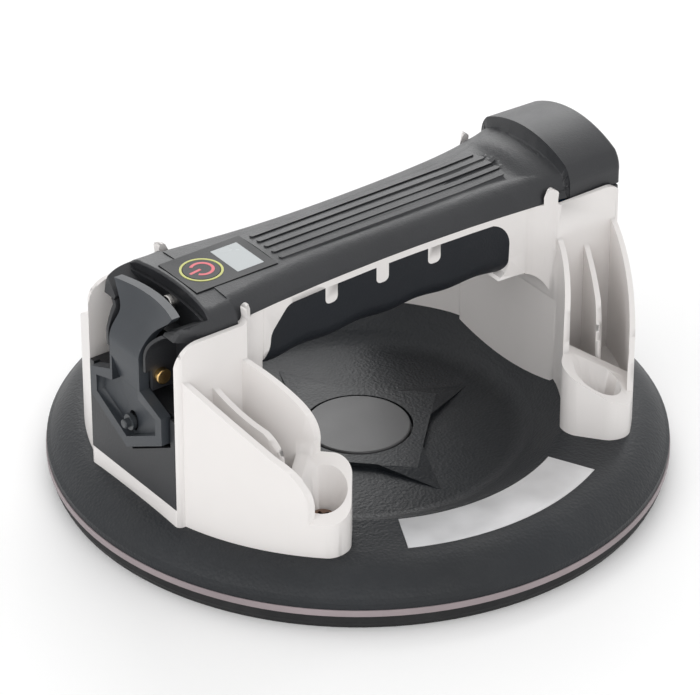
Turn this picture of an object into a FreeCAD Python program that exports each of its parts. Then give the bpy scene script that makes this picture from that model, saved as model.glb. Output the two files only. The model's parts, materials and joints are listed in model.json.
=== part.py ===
"""Electric suction lifter for floor tiles: a vacuum pad with a bridge handle.

Millimetres. X runs along the handle (the release lever is at -X, the battery
end at +X), Y across it, Z up. The origin is the centre of the pad's underside.
Each piece is written to parts/NODE.step.
"""

import FreeCAD, Part
import math
import os

# -------------------------------------------------------- driving dimensions
plate_radius = 100.0          # vacuum pad; its rings and the feet follow
leg_inner = plate_radius - 40.5   # inner face of a leg
leg_depth = 26.9
frame_end = leg_inner + leg_depth # end faces of the legs
core_half_width = 24.7        # half of the frame across the handle
contact_thickness = 0.8
cell_length = 65.0            # battery cells, upright in the leg at +X

# ---------------------------------------------------------------- vacuum pad
seal_outer_radius = plate_radius - 1.6   # lip on the tile
seal_bulge = 1.0              # the seal's side leans out above the lip
seal_height = 5.2
seal_width = 17.5
lip_width = 4.6
lip_groove_depth = 2.2
gasket_height = 2.2
gasket_proud = 0.3            # the pale ring stands proud of the plate
plate_edge_height = 2.2
plate_wall = 2.6
rim_top = 18.0                # flat rim that carries the frame
rim_shoulder_radius = plate_radius - 16.0   # where the dome starts to fall
rim_inner_radius = leg_inner + 6.5
bowl_crease_radius = rim_inner_radius - 9.7
bowl_crease_top = 11.3
bowl_floor_radius = bowl_crease_radius - 7.3
bowl_floor_top = 8.2
star_top = 10.0
star_tip = bowl_floor_radius - 5.0
star_corner = star_tip - 12.5 # corner of the flat diamond, on the axes
star_arm_width = 18.0         # width of an arm where its facets start
cap_radius = 17.0
cap_top = 10.4
cap_gap = 0.8                 # dark ring around the centre cap
rib_count = 8                 # stiffening ribs under the rim
rib_width = 2.2
port_x = -rim_inner_radius - 5.5  # suction port under the lever's leg
port_radius = 2.6

gasket_bottom = seal_height
plate_bottom = gasket_bottom + gasket_height
seal_top_radius = seal_outer_radius + seal_bulge
seal_inner_radius = seal_top_radius - seal_width
dome_start = (plate_radius - 1.2, plate_bottom + plate_edge_height + 1.0)

label_inner_radius = rim_inner_radius + 1.4
label_outer_radius = rim_shoulder_radius - 0.6
label_angle = 52.0            # spread of the label plate
label_thickness = 0.6

# --------------------------------------------------------------------- frame
frame_top = 81.7              # where the handle shell sits
core_wall = 1.6
core_corner = 2.4             # upright corners of the legs
end_drop_lever = 9.0          # rounding of the side walls' top corners
end_drop_battery = 6.0
flare_start = leg_inner - 9.5 # the side walls swell out from the grip here
flare_end = leg_inner + 0.7   # and are at their full width here
leg_wall = 2.5
arch_radius = 12.0
end_sill_top = 23.4           # white strip below each end cover
foot_outer_radius = plate_radius - 12.3
foot_depth = 22.5
foot_inner_radius = foot_outer_radius - foot_depth
fin_wall = 1.8
fin_start_angle = 14.0
foot_start_angle = 37.0
foot_end_angle = 52.0
foot_top_inner = 41.5
foot_top_outer = 29.5
foot_corner = 7.0
channel_floor = 22.0
# top edges of the fins: distance from the side wall and height
inner_fin = ((0.0, 69.8), (8.5, 65.6), (16.0, 58.5), (19.0, 52.8), (20.0, 45.0))
middle_fin = ((0.0, 64.0), (8.3, 57.6), (15.8, 52.8), (19.0, 47.8), (20.0, 41.0))
outer_fin = ((0.0, 69.6), (14.3, 61.3), (26.8, 51.0), (33.3, 43.8), (35.7, 35.0))
screw_circle = foot_outer_radius - 10.1
screw_angle = 45.5
screw_radius = 2.0
screw_head_radius = 3.9
screw_head_height = 2.6
screw_boss_radius = 4.5
screw_boss_bottom = 9.8
screw_end = 12.0
thread_gap = 0.02             # threads and pressed-in pieces
well_floor = 24.0
well_floor_radius = 4.8
well_top_radius = 6.8
horn_x = leg_inner - 3.6      # inner edge of a horn
horn_top = 87.5
horn_width = 4.3
horn_lean = 1.9               # a horn leans outwards by this much

# ---------------------------------------------------------------------- grip
neck_half_width = core_half_width - 3.9   # ends of the grip
waist_half_width = neck_half_width - 2.7  # middle of the grip
neck_x = leg_inner - 4.5
grip_bottom = 58.5
grip_wave = 0.9               # depth of the finger grooves
grip_wave_pitch = 23.0
pad_start = 8.0 - leg_inner
pad_end = leg_inner - 14.7
pad_wall = 2.6
pad_top = 79.4
pad_corner = 7.5
tab_width = 4.8
tab_bottom = 73.4
tab_pitch = 20.0
tab_middle = -4.0
tab_count = 3
channel_half_width = 12.5
channel_bottom = 65.0

# -------------------------------------------------------------- handle shell
shell_wall = 2.2
shell_top = 88.3
shell_crown = 0.45
cheek_half_width = core_half_width - 1.9  # wide blocks outside the horns
cheek_bottom = 80.3
cheek_top = 87.8
cheek_start = leg_inner + 2.7
cheek_end = frame_end - 2.4
cavity_half_width = core_half_width - 11.5    # thumb cavity between the cheeks
cavity_wall = frame_end - 16.4    # its back wall at the middle
cavity_bow = 2.3              # the back wall is bowed by this much
cavity_edge = 0.8
scoop_low = 81.1              # the cheeks slope up from here
scoop_half_width = cheek_half_width - 0.2     # to here
scoop_high = 86.4
cap_block_start = leg_inner + 7.0
cap_block_end = frame_end + 1.4
cap_block_top = end_sill_top + contact_thickness + cell_length + 3.0  # room for foam and contact
cap_block_crown = 5.0
shell_screw_x = (-28.0, 28.0)
shell_screw_radius = 1.5
shell_screw_seat = 63.2       # underside of their heads, in the frame's channel
cavity_screw_z = 81.6
cavity_screw_length = 6.2
cavity_screw_gap = 0.05       # its flat head stands off the bowed wall
cavity_boss_end = 6.0         # the boss reaches this far behind the cavity's wall
cavity_boss_half = 3.2
cavity_skin = 1.2
bead_count = 5
bead_pitch = 3.9
bead_width = 1.9
bead_height = 0.45
bead_start = -36.0
bead_end = cap_block_start - 12.5

# ------------------------------------------------------------- control panel
panel_start = 1.6 - cavity_wall
panel_end = panel_start + 30.0
panel_half_width = 10.3
panel_thickness = 1.8
panel_gap = 0.25
panel_top = 88.75
button_x = panel_start + 8.8
button_radius = 6.0
button_travel = 0.6
button_gap = 0.08
ring_width = 0.75
window_start = panel_end - 12.8
window_end = panel_end - 3.0
window_half_width = 7.4
window_thickness = 0.8
board_start = panel_start + 4.4
board_end = panel_end - 0.6
board_half_width = panel_half_width + 3.2
board_top = 84.2
board_thickness = 1.2
switch_top = board_top + 0.8

# ------------------------------------------------------------- release lever
pivot_x = 4.0 - frame_end
pivot_z = 65.0
pin_radius = 1.5
pin_fit = 0.05
pin_half_length = 12.6
pin_head_radius = 2.6
hub_radius = 3.2
hub_half_length = 7.8
spring_half_length = 3.2
lever_lip_half_width = cavity_half_width + 2.4
lever_lip_top = 86.4
lever_lip_x = 4.9 - frame_end # front of the lip at its ends
lever_bow = 2.7               # the lip is bowed by this much
lever_neck_half_width = 8.0
lever_bend_start = 70.0       # the neck leans back above this height
shield_half_width = core_half_width - 5.3
shield_top = 55.5
shield_side_bottom = 46.0
shield_tip = 35.7
lever_face = -frame_end - 2.3
lever_wall = 3.6
pocket_depth = 2.9
pocket_border = 3.4
lever_gap = 1.4               # clearance between lever and end cover
cover_wall = 2.2
cover_skin = 1.5
cover_gap = 0.1               # end covers inside the frame
cover_top = 84.6
tray_floor = 6.4 - frame_end  # behind the lever's shield
ledge_top = 55.4              # top of the lower part of the end cover
recess_floor = 9.9 - frame_end    # behind the upper part of the lever
cavity_shelf = 75.6
housing_wall = 1.2            # walls that follow the lever's outline
housing_front = -frame_end - 1.6

# -------------------------------------------------------------- vacuum valve
valve_z = 44.3
valve_radius = 4.2
valve_start = 3.9 - frame_end
valve_end = port_x + 5.5
chamber_start = valve_start + 8.0
chamber_end = valve_end - 1.5
chamber_radius = 3.2
seal_disc_width = 1.4
stem_radius = 1.5
stem_fit = 0.06
stem_head_radius = 2.6
stem_head_gap = 0.55          # between the stem's collar and the lever's pocket
tube_outer = 2.3
tube_inner = 1.3

# --------------------------------------------------------------- vacuum pump
motor_x = port_x + 2.9
motor_z = 63.0
motor_radius = 6.2
motor_end = 2.0
pump_end = core_half_width - 4.2
motor_start = -pump_end
pump_bottom = 55.8
pump_top = 71.0
shaft_radius = 1.0
shaft_fit = 0.05
arm_y = 9.0                   # side arm of the fitting, below the pump's inlet
arm_z = 25.2

# ------------------------------------------------------------------- battery
cell_radius = 9.1
cell_x = leg_inner + leg_wall + cell_radius + 1.9
cell_y = cell_radius + 0.15
cell_bottom = end_sill_top + contact_thickness
cell_top = cell_bottom + cell_length
socket_half_width = 4.5
socket_bottom = 38.0
socket_height = 3.4

far = 130.0                   # beyond every face, for cutting and trimming

ORIGIN = FreeCAD.Vector(0, 0, 0)
AXIS_X = FreeCAD.Vector(1, 0, 0)
AXIS_Y = FreeCAD.Vector(0, 1, 0)
AXIS_Z = FreeCAD.Vector(0, 0, 1)

os.makedirs("parts", exist_ok=True)


# ------------------------------------------------------------------- helpers
def plan(z):
    """Places an outline on a horizontal plane."""
    return lambda u, v: FreeCAD.Vector(u, v, z)


def front(y):
    """Places an outline in XZ, at y."""
    return lambda u, v: FreeCAD.Vector(u, y, v)


def side(x):
    """Places an outline in YZ, at x."""
    return lambda u, v: FreeCAD.Vector(x, u, v)


def outline(points, place):
    """Closed wire: (u, v) is a line to that point, (u, v, mu, mv) an arc through the middle point."""
    edges = []
    last = place(*points[0][:2])
    for point in points[1:] + points[:1]:
        here = place(point[0], point[1])
        if len(point) == 4:
            edges.append(Part.Arc(last, place(point[2], point[3]), here).toShape())
        else:
            edges.append(Part.LineSegment(last, here).toShape())
        last = here
    return Part.Wire(edges)


def prism_z(points, low, high):
    return Part.Face(outline(points, plan(low))).extrude(AXIS_Z * (high - low))


def prism_y(points, low, high):
    return Part.Face(outline(points, front(low))).extrude(AXIS_Y * (high - low))


def prism_x(points, low, high):
    return Part.Face(outline(points, side(low))).extrude(AXIS_X * (high - low))


def turned(points, angle=360.0, start=0.0):
    """Solid of revolution about Z from an outline of (radius, height)."""
    solid = Part.Face(outline(points, front(0))).revolve(ORIGIN, AXIS_Z, angle)
    solid.rotate(ORIGIN, AXIS_Z, start)
    return solid


def block(x0, x1, y0, y1, z0, z1):
    return Part.makeBox(x1 - x0, y1 - y0, z1 - z0, FreeCAD.Vector(x0, y0, z0))


def rod(radius, start, axis, length):
    return Part.makeCylinder(radius, length, start, axis)


def mirrored(solid, normal):
    return solid.mirror(ORIGIN, normal)


def union(solids):
    result = solids[0].fuse(solids[1:]) if len(solids) > 1 else solids[0]
    return result.removeSplitter()


def rounded(solid, radius, wanted):
    """Fillets the edges for which wanted(middle, direction) is true."""
    chosen = []
    for edge in solid.Edges:
        middle = edge.valueAt((edge.FirstParameter + edge.LastParameter) / 2)
        along = edge.tangentAt((edge.FirstParameter + edge.LastParameter) / 2)
        if wanted(middle, along):
            chosen.append(edge)
    return solid.makeFillet(radius, chosen)


def write(name, shape):
    solids = [s for s in shape.Solids if s.Volume > 0.01]
    result = solids[0] if len(solids) == 1 else Part.makeCompound(solids)
    result.exportStep("parts/" + name + ".step")
    return result


# ---------------------------------------------------------------- vacuum pad
def make_seal():
    """Soft ring with two lips and a groove between them."""
    inner_lip = seal_inner_radius + lip_width
    outer_lip = seal_outer_radius - lip_width
    lean = lip_groove_depth * 0.6
    return turned([
        (seal_outer_radius, 0),
        (seal_top_radius, lip_groove_depth),
        (seal_top_radius, seal_height),
        (seal_inner_radius, seal_height),
        (seal_inner_radius, 0),
        (inner_lip, 0),
        (inner_lip + lean, lip_groove_depth),
        (outer_lip - lean, lip_groove_depth),
        (outer_lip, 0),
    ])


def make_gasket():
    return turned([
        (plate_radius + gasket_proud, gasket_bottom),
        (plate_radius + gasket_proud, plate_bottom),
        (seal_inner_radius + 4, plate_bottom),
        (seal_inner_radius + 4, gasket_bottom),
    ])


def dome_middle():
    """Point half way along the arc that falls from the rim to the plate's edge."""
    run = dome_start[0] - rim_shoulder_radius
    drop = rim_top - dome_start[1]
    radius = (run * run + drop * drop) / (2 * drop)
    half = math.asin(run / radius) / 2
    return (rim_shoulder_radius + radius * math.sin(half), rim_top - radius * (1 - math.cos(half)))


def plate_top_outline():
    """Top of the plate from the axis outwards, as (radius, height) points."""
    floor_middle = (bowl_floor_radius + bowl_crease_radius) / 2
    return [
        (bowl_floor_radius, bowl_floor_top),
        (bowl_crease_radius, bowl_crease_top, floor_middle + 0.6, bowl_floor_top + 1.0),
        (rim_inner_radius - 1.2, rim_top - 1.0),
        (rim_inner_radius + 0.8, rim_top, rim_inner_radius - 0.3, rim_top - 0.3),
        (rim_shoulder_radius, rim_top),
        (dome_start[0], dome_start[1]) + dome_middle(),
        (plate_radius, plate_bottom + plate_edge_height),
    ]


def below_plate_top():
    """Everything under the plate's top face, for seating what stands on it."""
    return turned([(0, bowl_floor_top)] + plate_top_outline() + [(plate_radius, -5), (0, -5)])


def star_arm():
    """One arm of the raised star: a flat corner that falls in two facets to its tip."""
    root = star_corner - star_arm_width / 2
    half = star_arm_width / 2
    low = bowl_floor_top - 0.5
    corner = FreeCAD.Vector(star_corner, 0, star_top)
    tip = FreeCAD.Vector(star_tip, 0, bowl_floor_top)
    tip_low = FreeCAD.Vector(star_tip, 0, low)
    sides = []
    for sign in (1, -1):
        sides.append((FreeCAD.Vector(root, sign * half, star_top), FreeCAD.Vector(root, sign * half, low)))
    (top_a, low_a), (top_b, low_b) = sides
    polygons = [
        (top_a, corner, top_b), (top_a, tip, corner), (corner, tip, top_b),
        (low_a, low_b, tip_low), (low_a, top_a, top_b, low_b),
        (low_a, tip_low, tip, top_a), (low_b, top_b, tip, tip_low),
    ]
    faces = [Part.Face(Part.makePolygon(list(p) + [p[0]])) for p in polygons]
    return Part.makeSolid(Part.makeShell(faces))


def make_plate():
    under = bowl_floor_top - plate_wall
    rim_under = rim_top - plate_wall
    seat_inner = seal_inner_radius + 4
    shell = turned([(0, bowl_floor_top)] + plate_top_outline() + [
        (plate_radius, plate_bottom),
        (seat_inner, plate_bottom),
        (seat_inner, rim_under - 1.5),
        (seat_inner - 1.5, rim_under),
        (rim_inner_radius + 1, rim_under),
        (bowl_crease_radius + 1.6, bowl_crease_top - plate_wall),
        (bowl_floor_radius, under),
        (0, under),
    ])
    corners = [(star_corner, 0), (0, star_corner), (-star_corner, 0), (0, -star_corner)]
    pieces = [shell, prism_z(corners, bowl_floor_top - 0.5, star_top)]
    for quarter in range(4):
        arm = star_arm()
        arm.rotate(ORIGIN, AXIS_Z, 90 * quarter)
        pieces.append(arm)
    for index in range(rib_count):
        rib = block(rim_inner_radius + 1.5, seat_inner + 1, -rib_width / 2, rib_width / 2,
                    plate_bottom, rim_under + 0.5)
        rib.rotate(ORIGIN, AXIS_Z, 360 / rib_count * (index + 0.5))
        pieces.append(rib)
    for x, y in screw_places():
        pieces.append(rod(screw_boss_radius, FreeCAD.Vector(x, y, screw_boss_bottom), AXIS_Z,
                          rim_under + 0.5 - screw_boss_bottom))
    plate = union(pieces)
    cap_pocket = rod(cap_radius + cap_gap, FreeCAD.Vector(0, 0, bowl_floor_top - 0.6), AXIS_Z, 5)
    plate = plate.cut(cap_pocket)
    plate = plate.cut(label_sector(0.15, 1.0))
    for x, y in screw_places():
        plate = plate.cut(rod(screw_radius + thread_gap, FreeCAD.Vector(x, y, screw_end - 0.5), AXIS_Z, 15))
    return plate.cut(rod(port_radius, FreeCAD.Vector(port_x, 0, 0), AXIS_Z, 30))


def label_sector(clearance, extra_height):
    """The label plate's space: a ring segment centred on -Y."""
    low = rim_top - label_thickness
    grow = math.degrees(clearance / label_outer_radius)
    return turned([
        (label_inner_radius - clearance, low),
        (label_outer_radius + clearance, low),
        (label_outer_radius + clearance, rim_top + extra_height),
        (label_inner_radius - clearance, rim_top + extra_height),
    ], label_angle + 2 * grow, -90 - label_angle / 2 - grow)


def make_centre_cap():
    top = [
        (0, bowl_floor_top - 0.6),
        (cap_radius, bowl_floor_top - 0.6),
        (cap_radius, cap_top - 0.6),
        (cap_radius - 0.5, cap_top - 0.1, cap_radius - 0.15, cap_top - 0.25),
        (0, cap_top),
    ]
    return turned(top)


# --------------------------------------------------------------------- frame
def screw_places():
    """Centres of the four foot screws, on one circle."""
    x = screw_circle * math.cos(math.radians(screw_angle))
    y = screw_circle * math.sin(math.radians(screw_angle))
    return [(x, y), (-x, y), (-x, -y), (x, -y)]


def half_width_at(x):
    """Half width of the grip at x: a long shallow arc."""
    rise = neck_half_width - waist_half_width
    radius = (neck_x ** 2 + rise ** 2) / (2 * rise)
    return waist_half_width + radius - math.sqrt(radius ** 2 - x ** 2)


def waist_plan(half_length):
    """Plan of the grip between the legs."""
    end = half_width_at(half_length)
    return [
        (-half_length, -end), (half_length, -end, 0, -waist_half_width),
        (half_length, end), (-half_length, end, 0, waist_half_width),
    ]


def grip_section(x, inset):
    """U-shaped section of the grip below the shell, with a rounded belly."""
    half = half_width_at(x) - inset
    wave = grip_wave * (1 - math.cos(2 * math.pi * x / grip_wave_pitch)) / 2 if inset == 0 else 0
    bottom = grip_bottom + inset + wave
    corner = pad_corner - inset / 2
    bend = corner * (1 - math.sqrt(0.5))
    return outline([
        (-half, frame_top), (-half, bottom + corner),
        (-half + corner, bottom, -half + bend, bottom + bend),
        (half - corner, bottom),
        (half, bottom + corner, half - bend, bottom + bend),
        (half, frame_top),
    ], side(x))


def grip_body(inset):
    """The grip's lower body over the pad's length."""
    count = 17
    first, last = pad_start - 0.5, pad_end + 2.2
    stations = [first + (last - first) * i / (count - 1) for i in range(count)]
    if inset:
        stations = stations[::4]
    return Part.makeLoft([grip_section(x, inset) for x in stations], True, False)


def pad_region():
    """Side view of the space that the rubber pad fills."""
    low = grip_bottom
    top = pad_top
    return prism_y([
        (pad_start + 13.0, top), (pad_start + 9.0, top - 1.8, pad_start + 10.8, top - 0.4),
        (pad_start + 5.1, top - 6.1), (pad_start + 3.3, top - 10.4, pad_start + 3.8, top - 8.0),
        (pad_start, top - 16.0, pad_start + 2.2, top - 13.9), (pad_start, low - 6.5),
        (pad_end - 8.8, low - 6.5), (pad_end - 3.3, low + 1.0),
        (pad_end - 0.2, low + 6.5, pad_end - 1.0, low + 3.3), (pad_end, top - 8.4),
        (pad_end - 6.3, top, pad_end - 2.4, top - 2.4),
    ], -far, far)


def tab_shapes():
    """White tabs that show through the notches of the pad."""
    half = tab_width / 2
    turn = 1.8
    tabs = []
    for index in range(tab_count):
        x = tab_middle + (index - (tab_count - 1) / 2) * tab_pitch
        tabs.append(prism_y([
            (x - half, frame_top), (x - half, tab_bottom + turn),
            (x - half + turn, tab_bottom, x - half + 0.53, tab_bottom + 0.53),
            (x + half - turn, tab_bottom),
            (x + half, tab_bottom + turn, x + half - 0.53, tab_bottom + 0.53),
            (x + half, frame_top),
        ], -far, far))
    return union(tabs)


def make_grip_pad(outer, core, region, tabs):
    return outer.common(region).cut(core).cut(tabs)


def fin_mask(top_edge):
    """Side view of a fin: its top falls in a long arc, then drops to the foot."""
    start, first, turn, second, end = [(core_half_width + run, height) for run, height in top_edge]
    inner = core_half_width - 1
    return prism_x([
        (inner, 5), (inner, start[1]), start, turn + first, end + second, (end[0], 5),
    ], screw_circle / 2, far)


def ring_sector(inner, outer, low, high, start, end):
    return turned([(inner, low), (outer, low), (outer, high), (inner, high)], end - start, start)


def foot_quarter():
    """Fins, channel floor and screw boss of the foot at +X +Y."""
    middle = foot_outer_radius - (foot_depth + fin_wall) / 2
    inner_end = foot_start_angle + 7
    walls = [
        (foot_inner_radius, inner_fin, inner_end),
        (middle, middle_fin, inner_end),
        (foot_outer_radius - fin_wall, outer_fin, foot_end_angle - 6),
    ]
    fins = []
    for radius, top_edge, end in walls:
        wall = ring_sector(radius, radius + fin_wall, 5, frame_top, fin_start_angle, end)
        fins.append(wall.common(fin_mask(top_edge)))
    floor = ring_sector(foot_inner_radius, foot_outer_radius, 5, channel_floor, fin_start_angle,
                        foot_start_angle + 3)
    boss = turned([
        (foot_inner_radius, 5), (foot_outer_radius, 5), (foot_outer_radius, foot_top_outer),
        (foot_inner_radius, foot_top_inner),
    ], foot_end_angle - foot_start_angle, foot_start_angle)
    end = math.radians(foot_end_angle)

    def at_foot_end(middle, along):
        upright = abs(along.z) > 0.99
        return upright and abs(math.atan2(middle.y, middle.x) - end) < 0.02

    boss = rounded(boss, foot_corner, at_foot_end)
    return union(fins + [floor, boss])


def horn():
    """Small raised horn of the side wall beside the end of the grip."""
    outer = horn_x + horn_width
    tail = cheek_start - 0.2
    top = horn_top - 1.1
    return prism_y([
        (horn_x, frame_top - 2), (horn_x, frame_top + 0.8), (horn_x + horn_lean, top),
        (outer + 0.3, top, horn_x + horn_lean + 1.25, horn_top), (outer, frame_top + 1.8),
        (tail, frame_top, outer + 0.5, frame_top + 0.5), (tail, frame_top - 2),
    ], half_width_at(cheek_start) + 0.2, core_half_width)


def leg_block(sign, drop):
    """Solid of one leg up to the shell: plan with swelling sides, top corner rounded in side view."""
    neck = half_width_at(flare_start)
    half = core_half_width
    corner = core_corner * (1 - math.sqrt(0.5))
    swell = (flare_start + 0.64 * (flare_end - flare_start), neck + 0.28 * (half - neck))
    plan_view = [
        (flare_start, -neck), (flare_end, -half, swell[0], -swell[1]), (frame_end - core_corner, -half),
        (frame_end, core_corner - half, frame_end - corner, corner - half), (frame_end, half - core_corner),
        (frame_end - core_corner, half, frame_end - corner, half - corner), (flare_end, half),
        (flare_start, neck) + swell,
    ]
    bend = drop * (1 - math.sqrt(0.5))
    side_view = [
        (flare_start - 1, 0), (flare_start - 1, frame_top), (frame_end - drop, frame_top),
        (frame_end + 0.1, frame_top - drop, frame_end + 0.1 - bend, frame_top - bend), (frame_end + 0.1, 0),
    ]
    whole = prism_z(plan_view, 5, horn_top)
    leg = whole.common(prism_y(side_view, -far, far))
    tip = horn()
    leg = union([leg, whole.common(union([tip, mirrored(tip, AXIS_Y)]))])
    return leg if sign > 0 else mirrored(leg, AXIS_X)


def make_frame(core, region, tabs, outer):
    middle = prism_z(waist_plan(flare_start + 1), 5, frame_top)
    ends = [leg_block(1, end_drop_battery), leg_block(-1, end_drop_lever)]
    bend = arch_radius * (1 - math.sqrt(0.5))
    spring = leg_inner - arch_radius
    opening = prism_y([
        (-leg_inner, 0), (-leg_inner, grip_bottom - arch_radius),
        (-spring, grip_bottom, -leg_inner + bend, grip_bottom - bend),
        (spring, grip_bottom),
        (leg_inner, grip_bottom - arch_radius, leg_inner - bend, grip_bottom - bend),
        (leg_inner, 0),
    ], -far, far)
    bridge = union([middle] + ends).cut(opening)
    bridge = bridge.cut(region)
    quarter = foot_quarter()
    halves = [quarter, mirrored(quarter, AXIS_Y)]
    feet = halves + [mirrored(h, AXIS_X) for h in halves]
    frame = union([bridge, core.common(region), tabs.common(outer).common(region)] + feet)
    inner_half = core_half_width - core_wall
    for sign in (1, -1):
        room = block(leg_inner + leg_wall, far, -inner_half, inner_half, end_sill_top, far)
        frame = frame.cut(room if sign > 0 else mirrored(room, AXIS_X))
    frame = frame.cut(block(-leg_inner - leg_wall - 1, leg_inner + leg_wall + 1, -channel_half_width,
                            channel_half_width, channel_bottom, far))
    frame = frame.cut(below_plate_top())
    for x, y in screw_places():
        floor = FreeCAD.Vector(x, y, well_floor)
        frame = frame.cut(Part.makeCone(well_floor_radius, well_top_radius, 24, floor, AXIS_Z))
        frame = frame.cut(rod(screw_radius + 0.2, FreeCAD.Vector(x, y, 5), AXIS_Z, 30))
    return frame.cut(rod(port_radius + 1.6, FreeCAD.Vector(port_x, 0, 5), AXIS_Z, 30))


# -------------------------------------------------------------- handle shell
def shell_section(x, half, shoulder, top, crown, low=frame_top, inset=0.0):
    """Section of the handle shell: upright foot, sloping side, crowned top."""
    half -= inset
    shoulder -= inset * 0.8
    top -= inset
    side_top = frame_top + 0.25 * (top - frame_top)
    bend_u = (half + shoulder) / 2 + 0.14 * (half - shoulder)
    bend_v = (side_top + top) / 2 + 0.2 * (top - side_top)
    return outline([
        (-half, low), (-half, side_top), (-shoulder, top, -bend_u, bend_v),
        (shoulder, top, 0, top + crown), (half, side_top, bend_u, bend_v), (half, low),
    ], side(x))


def shell_loft(stations, low=frame_top, inset=0.0, lift=0.0):
    wires = []
    for x, half, shoulder, top, crown in stations:
        wires.append(shell_section(x, half, shoulder, top + lift, crown, low, inset))
    return Part.makeLoft(wires, True, False)


def grip_stations():
    plain = [
        (-cheek_start, 15.0, shell_top), (12.2 - cheek_start, 13.0, shell_top), (-36.0, 10.5, shell_top),
        (0.0, 9.0, shell_top - 0.2), (34.0, 9.5, shell_top - 0.1),
        (cap_block_start - 14.5, 12.0, shell_top + 0.3),
    ]
    return [(x, half_width_at(x), shoulder, top, shell_crown) for x, shoulder, top in plain]


def blend_stations():
    """The grip swells into the battery cap here."""
    first = cap_block_start - 9.5
    second = cap_block_start - 5.0
    rise = cap_block_top - shell_top
    return [
        grip_stations()[-1],
        (first, half_width_at(first), 14.0, shell_top + 0.23 * rise, 2.0),
        (second, half_width_at(second), 17.5, shell_top + 0.59 * rise, 3.6),
        (cap_block_start, cheek_half_width - 0.4, 20.0, cap_block_top, cap_block_crown),
    ]


def cap_stations():
    half = cheek_half_width
    return [
        (cap_block_start, half, 20.0, cap_block_top, cap_block_crown),
        (cap_block_end, half - 0.4, 19.8, cap_block_top - 0.6, cap_block_crown),
    ]


def cheek_stations():
    half = cheek_half_width
    return [
        (-cheek_end, half - 5.3, 13.0, cheek_top - 0.5, 0.3),
        (3.0 - cheek_end, half - 2.6, 15.5, cheek_top - 0.4, 0.4),
        (6.5 - cheek_end, half - 1.0, 16.8, cheek_top - 0.2, 0.6),
        (12.0 - cheek_end, half - 0.1, 17.0, cheek_top, 0.8),
        (-cheek_start, half, 17.0, cheek_top, 0.8),
    ]


def make_beads():
    """Long raised beads along the top of the grip."""
    beads = []
    half = bead_width / 2
    for index in range(bead_count):
        y = (index - (bead_count - 1) / 2) * bead_pitch
        start = bead_start + half
        end = bead_end - half - abs(y) * 0.35
        beads.append(prism_z([
            (start, y - half, start - half, y), (end, y - half), (end, y + half, end + half, y),
            (start, y + half),
        ], shell_top - 1.6, shell_top + 3))
    return union(beads)


def cavity_plan(shift, far_end):
    """Plan between the cavity's bowed back wall, moved by shift, and a straight far end."""
    half = scoop_half_width
    near = -cavity_wall + shift
    return [
        (far_end, -half), (near - cavity_bow, -half), (near - cavity_bow, half, near, 0), (far_end, half),
    ]


def scoop(inset):
    """Space above the cheeks' slopes, moved inwards by inset."""
    low_half = cavity_half_width - inset
    return prism_x([
        (-low_half, ledge_top), (-low_half, scoop_low), (-scoop_half_width, scoop_high + inset / 2),
        (-scoop_half_width, far), (scoop_half_width, far), (scoop_half_width, scoop_high + inset / 2),
        (low_half, scoop_low), (low_half, ledge_top),
    ], -far, -leg_inner)


def hood_space(high):
    """Side view of the hood round the lever: its front edge leans back as the lever does."""
    front_x = housing_front
    return prism_y([
        (front_x, ledge_top), (front_x, 71.6), (front_x + 4.2, 78.9, front_x + 1.0, 75.7),
        (front_x + 7.1, 85.2, front_x + 5.8, 81.9), (front_x + 7.6, 92.0), (high, 92.0), (high, ledge_top),
    ], -far, far)


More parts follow.
